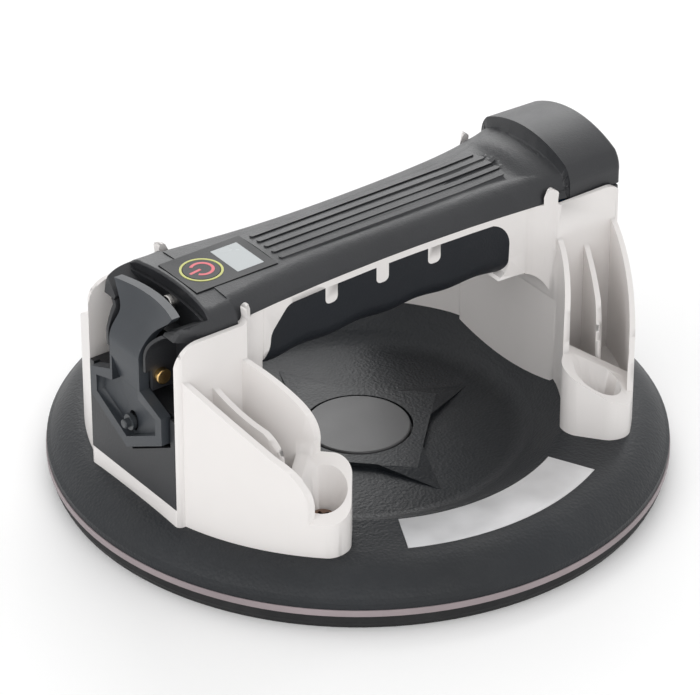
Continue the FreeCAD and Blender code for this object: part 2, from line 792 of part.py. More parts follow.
def make_shell():
    grip = grip_stations()
    body = union([
        shell_loft(grip), shell_loft(blend_stations()),
        rounded(shell_loft(cap_stations(), cheek_bottom), 1.6,
                lambda m, t: m.x > cap_block_end - 0.1 and m.z > frame_top),
        shell_loft(cheek_stations(), cheek_bottom),
    ])
    raised = make_beads().common(union([
        shell_loft(grip[2:], lift=bead_height), shell_loft(blend_stations()[:2], lift=bead_height)]))
    body = union([body, raised])
    body = body.common(union([block(-cheek_start, far, -far, far, ledge_top, far), hood_space(0)]))
    # thumb cavity behind the lever's lip, with cheeks that slope up from it
    body = body.cut(scoop(0.0).common(prism_z(cavity_plan(0.0, -far), ledge_top, far)))
    body = rounded(body, cavity_edge, lambda m, t: abs(m.x + cavity_wall) < 0.1 + cavity_bow
                   and m.z > shell_top - 0.6 and abs(t.y) > 0.9)
    inner_end = cavity_wall - shell_wall + 0.4
    low = cheek_bottom - 1
    first = grip[0]
    hollow = shell_loft([(-inner_end,) + first[1:]] + grip, low, shell_wall)
    body = body.cut(hollow).cut(shell_loft(blend_stations(), low, shell_wall))
    half = cheek_half_width - 3.6
    body = body.cut(prism_x([
        (-half, low), (-half, cap_block_top - 1.8), (half, cap_block_top - 1.8, 0, cap_block_top + 2.8),
        (half, low),
    ], cap_block_start - 0.5, cap_block_end - shell_wall))
    ledge = 1.5
    wide = panel_gap
    body = body.cut(block(panel_start - wide, panel_end + wide, -panel_half_width - wide,
                          panel_half_width + wide, panel_top - panel_thickness, far))
    body = body.cut(block(panel_start + ledge, panel_end - ledge, -panel_half_width + ledge,
                          panel_half_width - ledge, frame_top, far))
    additions = []
    for x in shell_screw_x:
        boss = rod(3.4, FreeCAD.Vector(x, 0, channel_bottom + 0.1), AXIS_Z, shell_top - 1.2 - channel_bottom)
        additions.append(boss)
    for x in (board_start + 2.4, board_end - 2.4):
        for y in (-board_half_width + 1.4, board_half_width - 1.4):
            additions.append(rod(1.3, FreeCAD.Vector(x, y, board_top), AXIS_Z, shell_top - 1.2 - board_top))
    boss_half = cavity_boss_half
    additions.append(block(0.5 - cavity_wall, cavity_boss_end - cavity_wall, -boss_half, boss_half,
                           cavity_screw_z - boss_half, cavity_screw_z + boss_half - 0.4))
    body = union([body] + additions)
    for x in shell_screw_x:
        body = body.cut(rod(shell_screw_radius + thread_gap, FreeCAD.Vector(x, 0, 60), AXIS_Z, 22))
    seat = -cavity_wall - cavity_skin
    return body.cut(rod(shell_screw_radius + thread_gap, FreeCAD.Vector(seat, 0, cavity_screw_z), AXIS_X,
                        cavity_screw_length + 0.2))


# ------------------------------------------------------------- control panel
def make_panel():
    panel = block(panel_start, panel_end, -panel_half_width, panel_half_width,
                  panel_top - panel_thickness, panel_top)
    ring_hole = button_radius + button_gap + ring_width + thread_gap
    panel = panel.cut(rod(ring_hole, FreeCAD.Vector(button_x, 0, 80), AXIS_Z, 20))
    grow = 0.05
    seat = 0.8
    panel = panel.cut(block(window_start - grow, window_end + grow, -window_half_width - grow,
                            window_half_width + grow, panel_top - window_thickness, panel_top + 1))
    return panel.cut(block(window_start + seat, window_end - seat, -window_half_width + seat,
                           window_half_width - seat, 80, 100))


def make_window():
    return block(window_start, window_end, -window_half_width, window_half_width,
                 panel_top - window_thickness, panel_top)


def make_ring():
    inner = button_radius + button_gap
    bottom = panel_top - panel_thickness
    centre = FreeCAD.Vector(button_x, 0, bottom)
    ring = rod(inner + ring_width, centre, AXIS_Z, panel_thickness + 0.1)
    return ring.cut(rod(inner, centre, AXIS_Z, 5))


def make_button():
    under = panel_top - panel_thickness
    cap = rod(button_radius, FreeCAD.Vector(button_x, 0, under - 0.4), AXIS_Z, panel_thickness + 0.55)
    cap = rounded(cap, 0.3, lambda m, t: m.z > panel_top)
    flange = rod(button_radius + 1.1, FreeCAD.Vector(button_x, 0, under - 0.8), AXIS_Z, 0.7)
    stem = rod(1.2, FreeCAD.Vector(button_x, 0, switch_top + button_travel + 0.1), AXIS_Z, 1.4)
    return union([cap, flange, stem])


def make_board():
    return block(board_start, board_end, -board_half_width, board_half_width,
                 board_top - board_thickness, board_top)


# ------------------------------------------------------------- release lever
def lever_outline(grow):
    """The lever's lower part seen along X: pointed shield and neck, flaring out under the lip."""
    neck = lever_neck_half_width + grow
    shield = shield_half_width + grow
    side_low = shield_side_bottom - grow / 2
    flare = neck + 0.5
    hood = cavity_half_width + 0.5 + (grow - lever_gap)
    bend = 78.6 - 0.4 * grow
    top = cheek_bottom + 0.6 - 0.3 * grow
    right = [
        (shield, side_low), (shield, shield_top + grow), (neck, shield_top + 4.5 + grow / 2), (neck, 74.6),
        (hood, top, flare + 0.6, bend), (hood, 92.0),
    ]
    left = [
        (-hood, 92.0), (-hood, top), (-neck, 74.6, -flare - 0.6, bend),
        (-neck, shield_top + 4.5 + grow / 2), (-shield, shield_top + grow), (-shield, side_low),
    ]
    return [(0, shield_tip - 1.13 * grow)] + right + left


def lip_section(height, half, front_x, bow, thickness):
    """Plan of the lever at one height: a bar bowed towards the shell."""
    back = front_x + thickness
    return outline([
        (front_x, -half, front_x + bow, 0), (back, -half), (back, half, back + bow, 0), (front_x, half),
    ], plan(height))


def lever_top():
    """Neck and lip of the lever: leans back, flares out and bows towards the shell."""
    neck = lever_neck_half_width
    face = lever_face
    stations = [
        (lever_bend_start, neck, face, 0.05, lever_wall),
        (73.0, neck, face + 0.3, 0.15, lever_wall),
        (76.3, neck + 0.2, face + 2.2, 0.5, lever_wall),
        (79.4, neck + 0.9, face + 4.9, 1.1, lever_wall),
        (82.0, neck + 3.4, lever_lip_x - 0.9, 1.8, 3.4),
        (84.3, lever_lip_half_width - 1.6, lever_lip_x - 0.1, 2.4, 3.1),
        (lever_lip_top, lever_lip_half_width, lever_lip_x + 0.2, lever_bow, 2.9),
    ]
    return Part.makeLoft([lip_section(*station) for station in stations], True, False)


def make_lever():
    lower = prism_x(lever_outline(0.0), lever_face, lever_face + lever_wall)
    lower = lower.common(block(-far, 0, -far, far, 0, lever_bend_start + 0.2))
    lever = union([lower, lever_top()])
    slope = (shield_side_bottom - shield_tip) / shield_half_width
    edge = shield_half_width - pocket_border
    low = shield_tip + pocket_border * math.sqrt(1 + slope * slope)
    neck = lever_neck_half_width - 1
    top = shield_top
    pocket = prism_x([
        (0, low), (edge, low + slope * edge), (edge, top - 1.6), (neck, top + 1),
        (-neck, top + 1), (-edge, top - 1.6), (-edge, low + slope * edge),
    ], lever_face - 1, lever_face + pocket_depth)
    ramp = prism_y([
        (lever_face - 1, top - 1), (lever_face + pocket_depth, top - 1),
        (lever_face + pocket_depth, top + 1), (lever_face, top + 10), (lever_face - 1, top + 10),
    ], -neck, neck)
    slot_half = stem_radius + 0.5
    slot_reach = 1.5
    slot_low = valve_z - slot_reach
    slot_high = valve_z + slot_reach
    slot = prism_x([
        (-slot_half, slot_low, 0, slot_low - slot_half), (-slot_half, slot_high),
        (slot_half, slot_high, 0, slot_high + slot_half), (slot_half, slot_low),
    ], -far, pivot_x)
    lever = lever.cut(pocket).cut(ramp).cut(slot)
    back = lever_face + lever_wall
    hub = rod(hub_radius, FreeCAD.Vector(pivot_x, -hub_half_length, pivot_z), AXIS_Y, 2 * hub_half_length)
    web = block(back - 1, pivot_x, -hub_half_length, hub_half_length,
                pivot_z - hub_radius, pivot_z + hub_radius)
    room = block(back, 0, -spring_half_length - 0.2, spring_half_length + 0.2, pivot_z - 7, pivot_z + 7)
    lever = union([lever, union([hub, web]).cut(room)])
    bore = rod(pin_radius + pin_fit, FreeCAD.Vector(pivot_x, -20, pivot_z), AXIS_Y, 40)
    return lever.cut(bore)


def make_lever_spring():
    start = FreeCAD.Vector(pivot_x, -spring_half_length, pivot_z)
    coil = rod(hub_radius - 0.7, start, AXIS_Y, 2 * spring_half_length)
    return coil.cut(rod(pin_radius + 0.3, start, AXIS_Y, 20))


def make_hinge_pin():
    start = FreeCAD.Vector(pivot_x, -pin_half_length, pivot_z)
    pin = rod(pin_radius, start, AXIS_Y, 2 * pin_half_length)
    seat = lever_neck_half_width + lever_gap + housing_wall
    head = rod(pin_head_radius, FreeCAD.Vector(pivot_x, seat, pivot_z), AXIS_Y, pin_half_length - seat)
    head = rounded(head, 0.4, lambda m, t: m.y > pin_half_length - 0.01)
    return union([pin, head, mirrored(head, AXIS_Y)])


def make_end_cover():
    half = core_half_width - core_wall - cover_gap
    low = end_sill_top + cover_gap
    front_x = -frame_end
    back_x = front_x + cover_wall
    plate = block(front_x, back_x, -half, half, low, ledge_top)
    plate = plate.cut(prism_x(lever_outline(lever_gap), front_x - 1, back_x + 1))
    tray_half = shield_half_width + lever_gap + cover_skin
    tray_low = shield_tip - 1.6 * lever_gap - cover_skin
    tray = block(back_x, tray_floor + cover_skin, -tray_half, tray_half, tray_low, ledge_top)
    tray = tray.cut(block(back_x, tray_floor, cover_skin - tray_half, tray_half - cover_skin,
                          tray_low + cover_skin, ledge_top - cover_skin))
    ledge = block(back_x, recess_floor + cover_skin, -half, half, ledge_top - cover_skin, ledge_top)
    recess = block(recess_floor, recess_floor + cover_skin, -half, half, ledge_top - cover_skin,
                   cheek_bottom - 0.2)
    inner = cavity_half_width - 0.2
    recess = recess.cut(block(recess_floor - 1, recess_floor + 3, -inner, inner, cavity_shelf, 90))
    band = prism_z(cavity_plan(-cover_gap, -far), cavity_shelf - cover_skin, cover_top)
    band = band.cut(prism_z(cavity_plan(-cavity_skin, -far - 1), ledge_top, far))
    cavity = band.common(scoop(cover_gap))
    shelf = block(recess_floor, -cavity_wall - cavity_skin, -inner, inner,
                  cavity_shelf - cover_skin, cavity_shelf)
    shelf = shelf.common(prism_z(cavity_plan(-cover_gap, -far), ledge_top, far))
    housing = prism_x(lever_outline(lever_gap + housing_wall), housing_front, recess_floor + 0.5)
    housing = housing.cut(prism_x(lever_outline(lever_gap), housing_front - 1, recess_floor + 1))
    neck_side = lever_neck_half_width + lever_gap + housing_wall
    housing = housing.common(hood_space(-leg_inner)).cut(block(-far, 0, -far, far, cheek_bottom - 0.2, far))
    housing = housing.common(union([
        block(housing_front, 0, -18, 18, pivot_z + 2.5, 100),
        block(pivot_x - hub_radius, 0, -neck_side, neck_side, ledge_top - 0.5, pivot_z + 2.5),
    ]))
    cover = union([plate, tray, ledge, recess, cavity, shelf, housing])
    pin_hole = rod(pin_radius + thread_gap, FreeCAD.Vector(pivot_x, -half, pivot_z), AXIS_Y, 2 * half)
    valve_hole = rod(valve_radius + thread_gap, FreeCAD.Vector(-frame_end, 0, valve_z), AXIS_X, leg_depth)
    behind = FreeCAD.Vector(-cavity_wall - 5, 0, cavity_screw_z)
    screw_hole = rod(shell_screw_radius + 0.2, behind, AXIS_X, 6)
    return cover.cut(pin_hole).cut(valve_hole).cut(screw_hole)


# -------------------------------------------------------------- vacuum valve
def make_valve_body():
    body = rod(valve_radius, FreeCAD.Vector(valve_start, 0, valve_z), AXIS_X, valve_end - valve_start)
    nipple = rod(tube_inner - thread_gap, FreeCAD.Vector(port_x, 0, 33), AXIS_Z, valve_z - 33)
    body = union([body, nipple])
    body = body.cut(rod(stem_radius + stem_fit, FreeCAD.Vector(-far, 0, valve_z), AXIS_X,
                        far + chamber_start))
    body = body.cut(rod(chamber_radius, FreeCAD.Vector(chamber_start, 0, valve_z), AXIS_X,
                        chamber_end - chamber_start))
    return body.cut(rod(0.6, FreeCAD.Vector(port_x, 0, 30), AXIS_Z, valve_z - 30))


def make_stem():
    floor = lever_face + pocket_depth
    tip = floor - 4.0
    end = chamber_end - 0.3 - seal_disc_width
    shaft = rod(stem_radius, FreeCAD.Vector(tip, 0, valve_z), AXIS_X, end - tip)
    shaft = rounded(shaft, 0.5, lambda m, t: m.x < tip + 0.01)
    collar = rod(stem_head_radius, FreeCAD.Vector(floor - stem_head_gap - 1.4, 0, valve_z), AXIS_X, 1.4)
    return union([shaft, collar])


def make_valve_seal():
    return rod(chamber_radius - 0.4, FreeCAD.Vector(chamber_end - 0.3 - seal_disc_width, 0, valve_z),
               AXIS_X, seal_disc_width)


# -------------------------------------------------------------- vacuum pump
def make_motor():
    wall = 1.0
    can = rod(motor_radius, FreeCAD.Vector(motor_x, motor_start, motor_z), AXIS_Y, motor_end - motor_start)
    can = can.cut(rod(motor_radius - wall, FreeCAD.Vector(motor_x, motor_start + 2, motor_z), AXIS_Y,
                      motor_end - motor_start - 3.5))
    return can.cut(rod(shaft_radius + shaft_fit, FreeCAD.Vector(motor_x, motor_start + 1, motor_z),
                       AXIS_Y, 2 * pump_end))


def make_rotor():
    shaft = rod(shaft_radius, FreeCAD.Vector(motor_x, motor_start + 1.1, motor_z), AXIS_Y, 33)
    armature = rod(motor_radius - 1.4, FreeCAD.Vector(motor_x, motor_start + 2.3, motor_z), AXIS_Y,
                   motor_end - motor_start - 4.1)
    eccentric = rod(2.2, FreeCAD.Vector(motor_x, motor_end + 4, motor_z + 0.8), AXIS_Y, 3)
    return union([shaft, armature, eccentric])


def make_pump_head():
    head = block(motor_x - motor_radius, motor_x + motor_radius, motor_end, pump_end, pump_bottom, pump_top)
    head = head.cut(rod(3.6, FreeCAD.Vector(motor_x, motor_end, motor_z), AXIS_Y, 10))
    head = head.cut(rod(shaft_radius + shaft_fit, FreeCAD.Vector(motor_x, motor_end, motor_z), AXIS_Y, 12.2))
    head = head.cut(rod(5.0, FreeCAD.Vector(motor_x, 11, pump_top - 1.5), AXIS_Z, 3))
    inlet = rod(tube_inner - thread_gap, FreeCAD.Vector(port_x, arm_y, pump_bottom - 4), AXIS_Z, 4.5)
    return union([head, inlet])


def make_pump_lid():
    return block(motor_x - motor_radius, motor_x + motor_radius, motor_end, pump_end,
                 pump_top, pump_top + 2.6)


def make_fitting():
    stub = rod(port_radius - 0.1, FreeCAD.Vector(port_x, 0, 12.5), AXIS_Z, 6)
    flange = rod(port_radius + 1.4, FreeCAD.Vector(port_x, 0, rim_top), AXIS_Z, 4)
    pipe = rod(tube_inner - thread_gap, FreeCAD.Vector(port_x, 0, rim_top), AXIS_Z, 31 - rim_top)
    arm = rod(1.4, FreeCAD.Vector(port_x, 0, arm_z), AXIS_Y, arm_y + 1.4)
    barb = rod(tube_inner - thread_gap, FreeCAD.Vector(port_x, arm_y, arm_z), AXIS_Z, 6)
    trunk = rod(1.9, FreeCAD.Vector(port_x, 0, rim_top), AXIS_Z, arm_z + 1.4 - rim_top)
    fitting = union([stub, flange, pipe, trunk, arm, barb])
    return fitting.cut(rod(0.8, FreeCAD.Vector(port_x, 0, 10), AXIS_Z, 25))


def make_tube(y, low, high):
    tube = rod(tube_outer, FreeCAD.Vector(port_x, y, low), AXIS_Z, high - low)
    return tube.cut(rod(tube_inner, FreeCAD.Vector(port_x, y, low), AXIS_Z, high - low))


def make_filter():
    disc = rod(port_radius + 1.6, FreeCAD.Vector(port_x, 0, rim_top - plate_wall - 1.6), AXIS_Z, 1.6)
    return disc.cut(rod(port_radius, FreeCAD.Vector(port_x, 0, 0), AXIS_Z, 30))


# ------------------------------------------------------------------- battery
def make_cells():
    can = rod(cell_radius, FreeCAD.Vector(cell_x, cell_y, cell_bottom), AXIS_Z, cell_length)
    return Part.makeCompound([can, mirrored(can, AXIS_Y)])


def contact_strip(bottom, thickness):
    reach = cell_y + 4
    return block(cell_x - 4, cell_x + 4, -reach, reach, bottom, bottom + thickness)


def make_battery_cover():
    half = core_half_width - core_wall - cover_gap
    cover = block(frame_end - cover_wall, frame_end, -half, half,
                  end_sill_top + cover_gap, cheek_bottom - 0.2)
    return cover.cut(block(cell_x, far, -socket_half_width - 0.05, socket_half_width + 0.05,
                           socket_bottom - 0.05, socket_bottom + socket_height + 0.05))


def make_socket():
    mouth = frame_end - 0.2
    shell = block(cell_x + cell_radius + 0.2, mouth, -socket_half_width, socket_half_width,
                  socket_bottom, socket_bottom + socket_height)
    wall = 0.4
    inside = block(mouth - 3, mouth + 1, wall - socket_half_width, socket_half_width - wall,
                   socket_bottom + wall, socket_bottom + socket_height - wall)
    middle = socket_bottom + socket_height / 2
    tongue = block(mouth - 3.5, mouth - 0.5, -3.2, 3.2, middle - 0.35, middle + 0.35)
    return union([shell.cut(inside), tongue])


# -------------------------------------------------------------------- screws
def screw(radius, head_radius, head_height, length):
    """Pan-head screw along +Z, its head's underside at the origin."""
    head = rod(head_radius, ORIGIN, AXIS_Z, head_height)
    head = rounded(head, head_height * 0.3, lambda m, t: m.z > head_height - 0.01)
    body = union([head, rod(radius, FreeCAD.Vector(0, 0, -length), AXIS_Z, length)])
    arm = head_radius * 0.6
    slot = 0.28 * radius
    cross = union([
        block(-arm, arm, -slot, slot, head_height * 0.45, 10),
        block(-slot, slot, -arm, arm, head_height * 0.45, 10),
    ])
    return body.cut(cross)


def make_frame_screws():
    screws = []
    for x, y in screw_places():
        piece = screw(screw_radius, screw_head_radius, screw_head_height, well_floor - screw_end)
        piece.translate(FreeCAD.Vector(x, y, well_floor))
        screws.append(piece)
    return Part.makeCompound(screws)


def make_shell_screws():
    screws = []
    for x in shell_screw_x:
        piece = screw(shell_screw_radius, 2.8, 1.7, 17)
        piece.rotate(ORIGIN, AXIS_X, 180)
        piece.translate(FreeCAD.Vector(x, 0, shell_screw_seat))
        screws.append(piece)
    return Part.makeCompound(screws)


def make_cavity_screw():
    piece = screw(shell_screw_radius, 2.5, 1.6, cavity_screw_length)
    piece.rotate(ORIGIN, AXIS_Y, -90)
    piece.translate(FreeCAD.Vector(-cavity_wall - cavity_skin - cavity_screw_gap, 0, cavity_screw_z))
    return piece


outer_grip = grip_body(0)
core_grip = grip_body(pad_wall)
region = pad_region()
tabs = tab_shapes()
frame = make_frame(core_grip, region, tabs, outer_grip)
for x in shell_screw_x:
    frame = frame.cut(rod(3.1, FreeCAD.Vector(x, 0, 50), AXIS_Z, shell_screw_seat - 50))
    frame = frame.cut(rod(shell_screw_radius + 0.2, FreeCAD.Vector(x, 0, 50), AXIS_Z, 20))
write("rubber_seal", make_seal())
write("gasket_ring", make_gasket())
write("base_plate", make_plate())
write("label_plate", label_sector(0.0, 0.0))
write("centre_cap", make_centre_cap())
write("grip_pad", make_grip_pad(outer_grip, core_grip, region, tabs))
write("frame", frame)
write("frame_screws", make_frame_screws())
write("handle_shell", make_shell())
write("shell_screws", make_shell_screws())
write("cavity_screw", make_cavity_screw())
write("control_panel", make_panel())
write("display_window", make_window())
write("button_light_ring", make_ring())
write("power_button", make_button())
write("control_board", make_board())
write("tact_switch", block(button_x - 3, button_x + 3, -3, 3, board_top, switch_top))
module_half = window_half_width + 1
write("display_module", block(window_start - 1, window_end + 1, -module_half, module_half,
                              board_top, panel_top - panel_thickness - 0.1))
board_under = board_top - board_thickness
write("pressure_sensor", block(board_end - 8, board_end - 3, -2.5, 2.5, board_under - 2, board_under))
write("release_lever", make_lever())
write("lever_spring", make_lever_spring())
write("hinge_pin", make_hinge_pin())
write("end_cover", make_end_cover())
write("valve_body", make_valve_body())
write("valve_stem", make_stem())
write("valve_seal", make_valve_seal())
write("valve_tube", make_tube(0, arm_z + 1.4, valve_z - valve_radius))
write("pump_tube", make_tube(arm_y, arm_z + 1.4, pump_bottom))
write("tube_fitting", make_fitting())
write("suction_filter", make_filter())
write("pump_motor", make_motor())
write("pump_rotor", make_rotor())
write("pump_head", make_pump_head())
write("pump_diaphragm", rod(4.9, FreeCAD.Vector(motor_x, 11, pump_top - 1.5), AXIS_Z, 1.5))
write("pump_lid", make_pump_lid())
write("battery_cells", make_cells())
write("lower_contact", contact_strip(end_sill_top, contact_thickness))
write("upper_contact", contact_strip(cell_top, 0.6))
write("battery_foam", block(cell_x - 6, cell_x + 6, -12, 12, cell_top + 0.6, cap_block_top + 0.8))
write("battery_cover", make_battery_cover())
write("charge_socket", make_socket())
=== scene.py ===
"""Looks of the floor tile suction lifter: finishes, rounded mouldings, studio and camera.

Metres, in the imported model's frame: X along the handle, Y across it, Z up.
"""

import bpy
import json
import math
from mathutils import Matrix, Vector


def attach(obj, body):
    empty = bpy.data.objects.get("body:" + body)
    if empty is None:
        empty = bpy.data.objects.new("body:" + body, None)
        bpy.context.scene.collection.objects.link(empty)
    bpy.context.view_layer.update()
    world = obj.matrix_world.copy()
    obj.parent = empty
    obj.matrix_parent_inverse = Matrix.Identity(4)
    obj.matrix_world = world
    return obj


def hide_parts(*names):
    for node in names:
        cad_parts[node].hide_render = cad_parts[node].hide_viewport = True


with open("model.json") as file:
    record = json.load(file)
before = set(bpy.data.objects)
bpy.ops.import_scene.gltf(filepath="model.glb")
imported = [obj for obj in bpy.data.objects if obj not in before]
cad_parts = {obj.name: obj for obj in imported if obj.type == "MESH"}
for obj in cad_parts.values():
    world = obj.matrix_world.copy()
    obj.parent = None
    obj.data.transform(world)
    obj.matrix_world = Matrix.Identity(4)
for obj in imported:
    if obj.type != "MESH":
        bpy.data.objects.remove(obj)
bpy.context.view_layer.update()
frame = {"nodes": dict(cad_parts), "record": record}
nodes = frame["nodes"]
MM = 0.001


# ------------------------------------------------------------------ shader groups
def new_group(name, inputs, outputs):
    """An empty shader group with float or vector sockets."""
    tree = bpy.data.node_groups.new(name, "ShaderNodeTree")
    for label, kind, value in inputs:
        socket = tree.interface.new_socket(label, in_out="INPUT", socket_type=kind)
        if value is not None:
            socket.default_value = value
    for label, kind in outputs:
        tree.interface.new_socket(label, in_out="OUTPUT", socket_type=kind)
    return tree, tree.nodes.new("NodeGroupInput"), tree.nodes.new("NodeGroupOutput")


def add(tree, kind, links=None, **settings):
    """A node with its settings, its input values and its incoming links."""
    node = tree.nodes.new(kind)
    for key, value in settings.items():
        setattr(node, key, value)
    for key, source in (links or {}).items():
        socket = node.inputs[key]
        if hasattr(source, "links"):
            tree.links.new(source, socket)
        else:
            socket.default_value = source
    return node


def math_node(tree, operation, a, b=0.0, clamp=False):
    """The result of a sum on two values or sockets."""
    return add(tree, "ShaderNodeMath", {0: a, 1: b}, operation=operation, use_clamp=clamp).outputs[0]


def make_grain_group():
    """Moulded leather grain: small soft cells broken up by noise. Height 0 to 1."""
    inputs = [("Vector", "NodeSocketVector", None), ("Scale", "NodeSocketFloat", 900.0),
              ("Break up", "NodeSocketFloat", 0.5)]
    outputs = [("Height", "NodeSocketFloat"), ("Patches", "NodeSocketFloat")]
    tree, source, out = new_group("moulded_grain", inputs, outputs)
    where = source.outputs["Vector"]
    scale = source.outputs["Scale"]
    cells = add(tree, "ShaderNodeTexVoronoi", {"Vector": where, "Scale": scale, "Smoothness": 0.6},
                feature="SMOOTH_F1")
    fine = add(tree, "ShaderNodeTexNoise", {
        "Vector": where, "Scale": math_node(tree, "MULTIPLY", scale, 1.9), "Detail": 3.0, "Roughness": 0.6})
    broad = add(tree, "ShaderNodeTexNoise", {
        "Vector": where, "Scale": math_node(tree, "MULTIPLY", scale, 0.02), "Detail": 3.0})
    mixed = add(tree, "ShaderNodeMix", {
        "Factor": source.outputs["Break up"], "A": cells.outputs["Distance"], "B": fine.outputs["Fac"]},
        data_type="FLOAT")
    tree.links.new(mixed.outputs["Result"], out.inputs["Height"])
    tree.links.new(broad.outputs["Fac"], out.inputs["Patches"])
    return tree


def make_dust_group():
    """Faint dust and handling marks: a soft mask that is stronger on faces that look up."""
    tree, source, out = new_group("dust", [
        ("Vector", "NodeSocketVector", None), ("Amount", "NodeSocketFloat", 0.3),
        ("Scale", "NodeSocketFloat", 60.0)], [("Mask", "NodeSocketFloat")])
    cloud = add(tree, "ShaderNodeTexNoise", {
        "Vector": source.outputs["Vector"], "Scale": source.outputs["Scale"],
        "Detail": 6.0, "Roughness": 0.65})
    speck = add(tree, "ShaderNodeTexNoise", {
        "Vector": source.outputs["Vector"],
        "Scale": math_node(tree, "MULTIPLY", source.outputs["Scale"], 24.0), "Detail": 2.0})
    spread = add(tree, "ShaderNodeMapRange", {
        "Value": cloud.outputs["Fac"], "From Min": 0.45, "From Max": 0.75, "To Min": 0.0, "To Max": 1.0})
    dots = add(tree, "ShaderNodeMapRange", {
        "Value": speck.outputs["Fac"], "From Min": 0.5, "From Max": 0.8, "To Min": 0.4, "To Max": 1.0})
    facing = add(tree, "ShaderNodeNewGeometry")
    split = add(tree, "ShaderNodeSeparateXYZ", {0: facing.outputs["Normal"]})
    upward = add(tree, "ShaderNodeMapRange", {
        "Value": split.outputs["Z"], "From Min": -0.2, "From Max": 1.0, "To Min": 0.25, "To Max": 1.0})
    mask = math_node(tree, "MULTIPLY", spread.outputs[0], dots.outputs[0])
    mask = math_node(tree, "MULTIPLY", mask, upward.outputs[0])
    mask = math_node(tree, "MULTIPLY", mask, source.outputs["Amount"], True)
    tree.links.new(mask, out.inputs["Mask"])
    return tree


grain_group = make_grain_group()
dust_group = make_dust_group()
grain_depth = 0.0002


def moulded(name, colour, roughness, grain=900.0, bump=0.15, break_up=0.5, variation=0.12, dust=0.2,
            dust_colour=(0.35, 0.35, 0.34), metallic=0.0, rough_spread=0.06, specular=0.5):
    """A moulded or metal finish: grain in the bump, patches in the colour and the gloss, faint dust."""
    material = bpy.data.materials.new(name)
    material.use_nodes = True
    tree = material.node_tree
    shader = tree.nodes["Principled BSDF"]
    where = add(tree, "ShaderNodeTexCoord").outputs["Object"]
    grain_node = add(tree, "ShaderNodeGroup")
    grain_node.node_tree = grain_group
    grain_node.inputs["Scale"].default_value = grain
    grain_node.inputs["Break up"].default_value = break_up
    tree.links.new(where, grain_node.inputs["Vector"])
    dust_node = add(tree, "ShaderNodeGroup")
    dust_node.node_tree = dust_group
    dust_node.inputs["Amount"].default_value = dust
    tree.links.new(where, dust_node.inputs["Vector"])
    ramp = add(tree, "ShaderNodeValToRGB", {"Fac": grain_node.outputs["Patches"]})
    ramp.color_ramp.elements[0].position = 0.3
    ramp.color_ramp.elements[1].position = 0.7
    ramp.color_ramp.elements[0].color = [c * (1 - variation) for c in colour] + [1]
    ramp.color_ramp.elements[1].color = [min(1, c * (1 + variation)) for c in colour] + [1]
    dusty = add(tree, "ShaderNodeMix", {"Factor": dust_node.outputs["Mask"], "A": ramp.outputs["Color"],
                                        "B": list(dust_colour) + [1]}, data_type="RGBA")
    tree.links.new(dusty.outputs["Result"], shader.inputs["Base Color"])
    gloss = add(tree, "ShaderNodeMapRange", {
        "Value": grain_node.outputs["Patches"], "From Min": 0.3, "From Max": 0.7,
        "To Min": max(0.02, roughness - rough_spread), "To Max": min(1, roughness + rough_spread)})
    dulled = math_node(tree, "MULTIPLY", dust_node.outputs["Mask"], 0.3)
    rough = math_node(tree, "ADD", gloss.outputs[0], dulled, True)
    tree.links.new(rough, shader.inputs["Roughness"])
    if bump:
        relief = add(tree, "ShaderNodeBump", {
            "Height": grain_node.outputs["Height"], "Strength": bump, "Distance": grain_depth})
        tree.links.new(relief.outputs["Normal"], shader.inputs["Normal"])
    shader.inputs["Metallic"].default_value = metallic
    shader.inputs["Specular IOR Level"].default_value = specular
    return material


